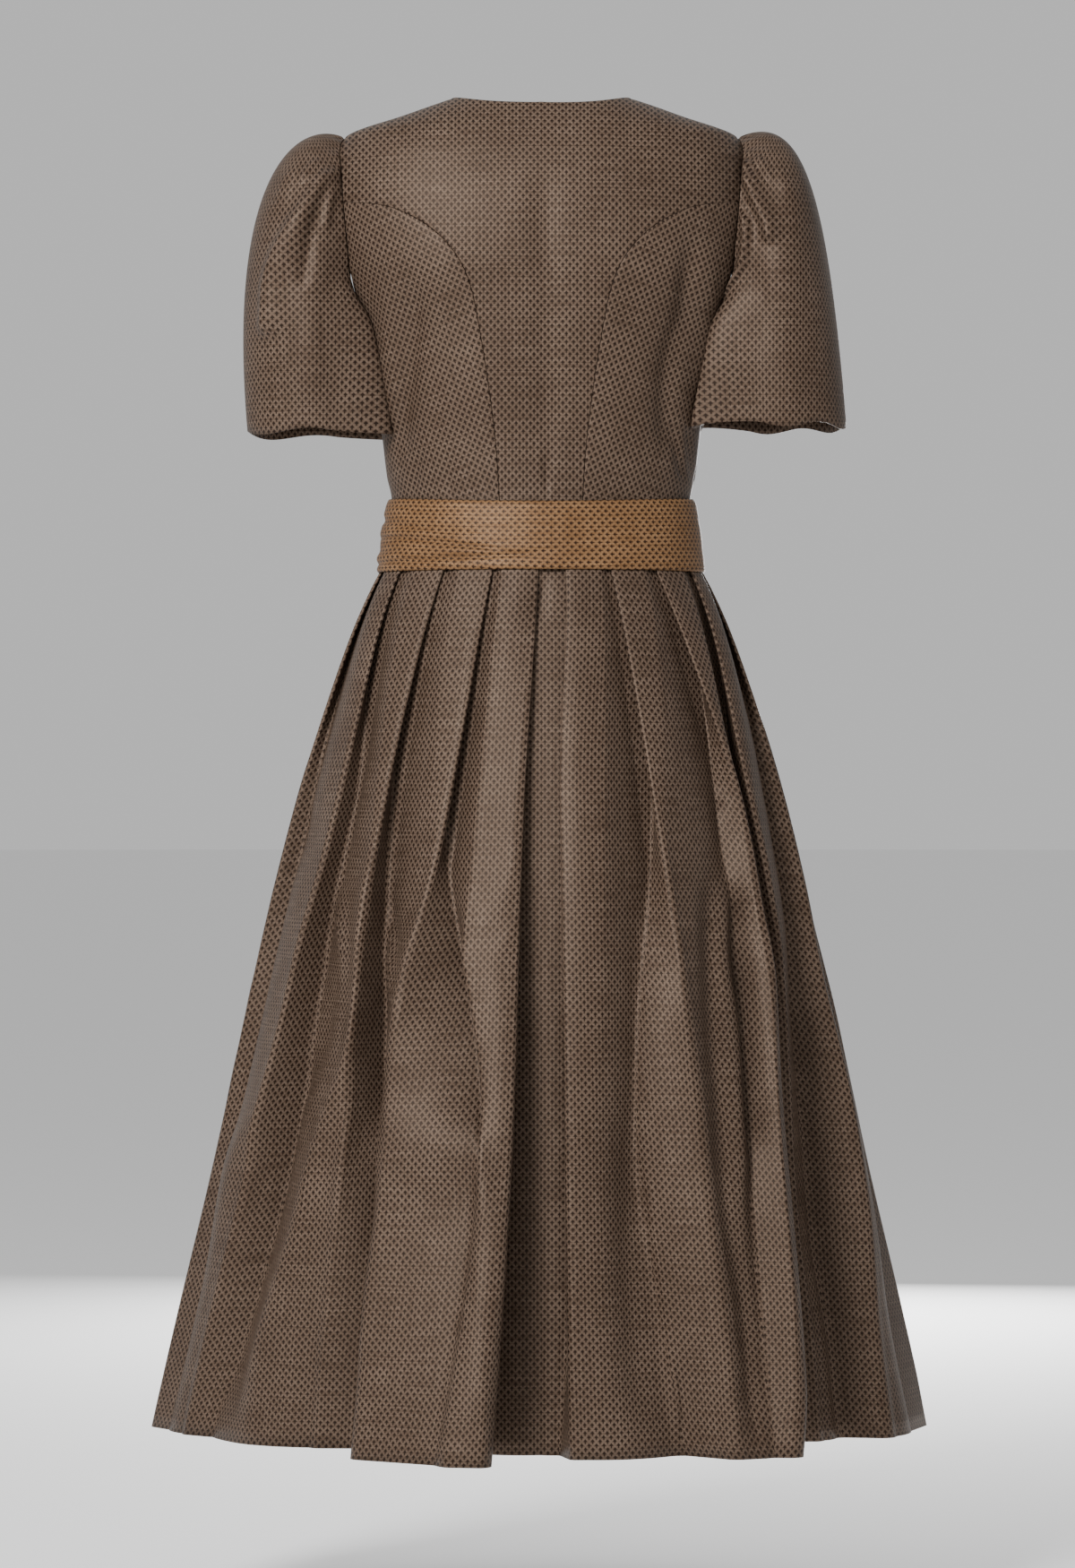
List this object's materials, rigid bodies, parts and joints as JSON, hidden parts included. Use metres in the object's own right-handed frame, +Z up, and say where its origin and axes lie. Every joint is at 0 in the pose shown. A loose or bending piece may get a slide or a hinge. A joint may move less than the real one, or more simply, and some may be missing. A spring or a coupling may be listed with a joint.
{
  "type": "dirndl dress",
  "caption": "Calf-length folk dress with a fitted princess-seam bodice, puff sleeves, a knife-pleated skirt and a contrasting sash tied at the front left, filled out as worn.",
  "frame": {"origin": "midway between the middles of the two shoulder seams in height, on the centre plane, in line with the side seams", "axes": "+X to the wearer's left, +Y to the wearer's back, +Z up along the wearer"},
  "size_m": [0.7089, 0.6017, 1.2152],
  "materials": {
    "dress_cloth": "matt jacquard weave, taupe ground with small dark motifs",
    "belt_cloth": "matt jacquard weave, caramel ground with small dark motifs"
  },
  "bodies": {
    "root": {"bodice_back": "dress_cloth", "bodice_side_back_left": "dress_cloth", "bodice_side_back_right": "dress_cloth", "bodice_side_front_left": "dress_cloth", "bodice_side_front_right": "dress_cloth", "bodice_front_left": "dress_cloth", "bodice_front_right": "dress_cloth", "sleeve_left": "dress_cloth", "sleeve_right": "dress_cloth", "skirt_back": "dress_cloth", "skirt_front": "dress_cloth", "belt_band": "belt_cloth", "belt_knot": "belt_cloth", "belt_end_upper": "belt_cloth", "belt_end_lower": "belt_cloth"}
  },
  "joints": []
}
